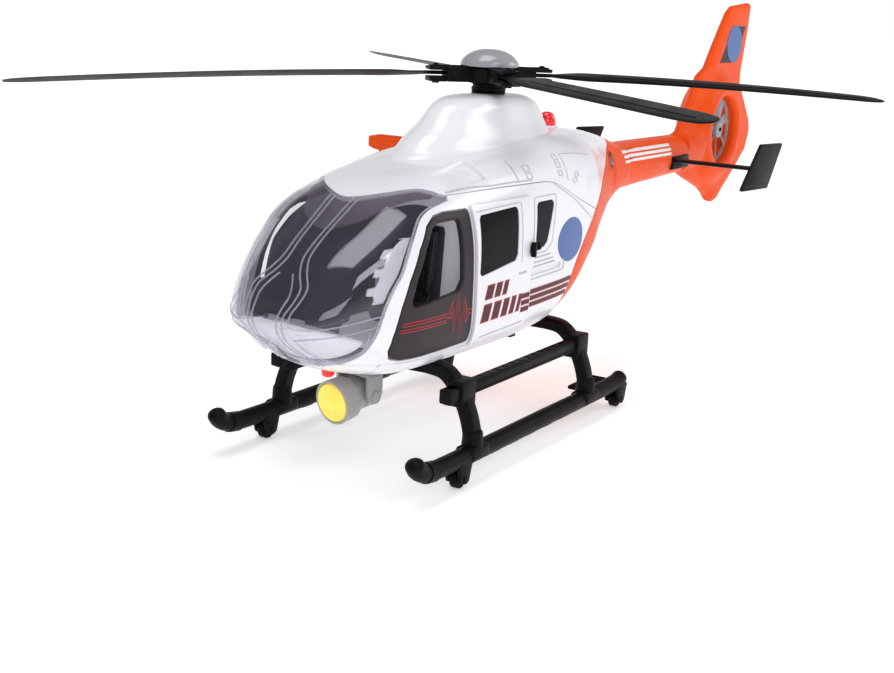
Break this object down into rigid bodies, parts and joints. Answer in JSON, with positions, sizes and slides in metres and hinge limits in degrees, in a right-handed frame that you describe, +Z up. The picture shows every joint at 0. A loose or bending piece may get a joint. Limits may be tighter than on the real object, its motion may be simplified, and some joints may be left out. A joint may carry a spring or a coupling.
{
  "type": "toy rescue helicopter",
  "caption": "Plastic toy rescue helicopter with drooping rotor blades, shrouded tail fan, opening doors, rope winch, swivelling spotlight and skids on small wheels.",
  "frame": {"origin": "on the ground plane, at the middle of the bounding box's footprint", "axes": "+X to the nose, +Y to the port side, +Z up"},
  "size_m": [0.586, 0.378, 0.2304],
  "materials": {
    "shell_white": "glossy moulded",
    "shell_orange": "glossy moulded",
    "plastic_black": "satin moulded",
    "door_grey": "satin moulded",
    "pane_dark": "glossy tinted",
    "clear_windshield": "clear polished",
    "interior_grey": "satin moulded",
    "dash_navy": "satin moulded",
    "seat_black": "ribbed satin",
    "fan_grey": "translucent moulded",
    "lens_red": "clear red",
    "lens_yellow": "clear yellow",
    "lamp_grey": "satin moulded",
    "hook_red": "glossy moulded",
    "cord_black": "braided",
    "steel": "plated",
    "brass": "turned",
    "battery_cell": "printed sleeve",
    "circuit_green": "lacquered"
  },
  "bodies": {
    "airframe": {"windshield": "clear_windshield", "cabin_shell": "shell_white", "rear_window_left": "pane_dark", "rear_window_right": "pane_dark", "roof_cowling": "shell_white", "belly_pan": "shell_white", "battery_cover": "shell_white", "battery_cover_screw": "steel", "battery_1": "battery_cell", "battery_2": "battery_cell", "circuit_board": "circuit_green", "speaker": "steel", "cabin_tub": "interior_grey", "instrument_panel": "dash_navy", "cockpit_seats": "seat_black", "tail_shell_left": "shell_orange", "tail_shell_right": "shell_orange", "fan_bracket": "shell_orange", "stabilizer": "plastic_black", "front_strut": "plastic_black", "rear_strut": "plastic_black", "skid_left": "plastic_black", "skid_right": "plastic_black", "step_bar_left": "plastic_black", "step_bar_right": "plastic_black", "beacon_lens": "lens_red", "belly_light_lens": "lens_red", "winch_arm": "shell_orange", "winch_cord": "cord_black", "gearbox_frame": "interior_grey", "rotor_motor": "steel"},
    "rotor": {"rotor_mast": "plastic_black", "rotor_hub": "plastic_black", "hub_dome": "fan_grey", "rotor_blade_1": "plastic_black", "rotor_blade_2": "plastic_black", "rotor_blade_3": "plastic_black", "rotor_blade_4": "plastic_black", "mast_gear": "interior_grey"},
    "pinion": {"motor_pinion": "brass"},
    "fan": {"tail_fan": "fan_grey"},
    "front_door_left": {"front_door_left": "door_grey"},
    "front_door_right": {"front_door_right": "door_grey"},
    "slide_door_left": {"slide_door_left": "shell_white", "slide_window_left": "pane_dark", "door_handle_left": "plastic_black"},
    "slide_door_right": {"slide_door_right": "shell_white", "slide_window_right": "pane_dark", "door_handle_right": "plastic_black"},
    "drum": {"winch_drum": "plastic_black"},
    "hook": {"winch_hook": "hook_red"},
    "lamp_yoke": {"spotlight_yoke": "lamp_grey"},
    "lamp_head": {"spotlight_head": "lamp_grey", "spotlight_lens": "lens_yellow"},
    "wheel_front_left": {"wheel_front_left": "plastic_black"},
    "wheel_front_right": {"wheel_front_right": "plastic_black"},
    "wheel_rear_left": {"wheel_rear_left": "plastic_black"},
    "wheel_rear_right": {"wheel_rear_right": "plastic_black"},
    "switch": {"power_switch": "plastic_black"}
  },
  "joints": [
    {"name": "rotor_spin", "type": "hinge", "parent": "airframe", "child": "rotor", "pos_m": [0.104, 0, 0.186], "axis": [0, 0, 1], "continuous": true},
    {"name": "pinion_spin", "type": "hinge", "parent": "airframe", "child": "pinion", "pos_m": [0.088, 0, 0.135], "axis": [0, 0, 1], "continuous": true},
    {"name": "fan_spin", "type": "hinge", "parent": "airframe", "child": "fan", "pos_m": [-0.217, 0.0054, 0.1396], "axis": [0, 1, 0], "continuous": true},
    {"name": "front_door_left_swing", "type": "hinge", "parent": "airframe", "child": "front_door_left", "pos_m": [0.2505, 0.0415, 0.07], "axis": [0.2113, -0.065, -0.9753], "range_deg": [0, 65]},
    {"name": "front_door_right_swing", "type": "hinge", "parent": "airframe", "child": "front_door_right", "pos_m": [0.2505, -0.0415, 0.07], "axis": [-0.2113, -0.065, 0.9753], "range_deg": [0, 65]},
    {"name": "slide_door_left_slide", "type": "slide", "parent": "airframe", "child": "slide_door_left", "axis": [-0.9971, 0.0758, 0], "range_m": [0, 0.046]},
    {"name": "slide_door_right_slide", "type": "slide", "parent": "airframe", "child": "slide_door_right", "axis": [-0.9971, -0.0758, 0], "range_m": [0, 0.046]},
    {"name": "winch_drum_turn", "type": "hinge", "parent": "airframe", "child": "drum", "pos_m": [0.11, -0.062, 0.1448], "axis": [1, 0, 0], "range_deg": [0, 3620]},
    {"name": "winch_hook_lower", "type": "slide", "parent": "airframe", "child": "hook", "axis": [0, 0, -1], "range_m": [0, 0.119], "deforming": ["winch_cord"]},
    {"name": "lamp_pan", "type": "hinge", "parent": "airframe", "child": "lamp_yoke", "pos_m": [0.214, 0, 0.048], "axis": [0, 0, 1], "range_deg": [-75, 75]},
    {"name": "lamp_tilt", "type": "hinge", "parent": "lamp_yoke", "child": "lamp_head", "pos_m": [0.214, 0, 0.0362], "axis": [0.1736, 0.9848, 0], "range_deg": [-12, 40]},
    {"name": "wheel_front_left_roll", "type": "hinge", "parent": "airframe", "child": "wheel_front_left", "pos_m": [0.2139, 0.0583, 0.0045], "axis": [0, 1, 0], "continuous": true},
    {"name": "wheel_front_right_roll", "type": "hinge", "parent": "airframe", "child": "wheel_front_right", "pos_m": [0.2139, -0.0583, 0.0045], "axis": [0, 1, 0], "continuous": true},
    {"name": "wheel_rear_left_roll", "type": "hinge", "parent": "airframe", "child": "wheel_rear_left", "pos_m": [0.0424, 0.0583, 0.0045], "axis": [0, 1, 0], "continuous": true},
    {"name": "wheel_rear_right_roll", "type": "hinge", "parent": "airframe", "child": "wheel_rear_right", "pos_m": [0.0424, -0.0583, 0.0045], "axis": [0, 1, 0], "continuous": true},
    {"name": "power_switch_slide", "type": "slide", "parent": "airframe", "child": "switch", "axis": [1, 0, 0], "range_m": [0, 0.0022]}
  ],
  "couplings": [
    {"joint": "pinion_spin", "follows": "rotor_spin", "ratio": -3},
    {"joint": "winch_drum_turn", "follows": "winch_hook_lower", "rad_per_m": 526.32}
  ]
}
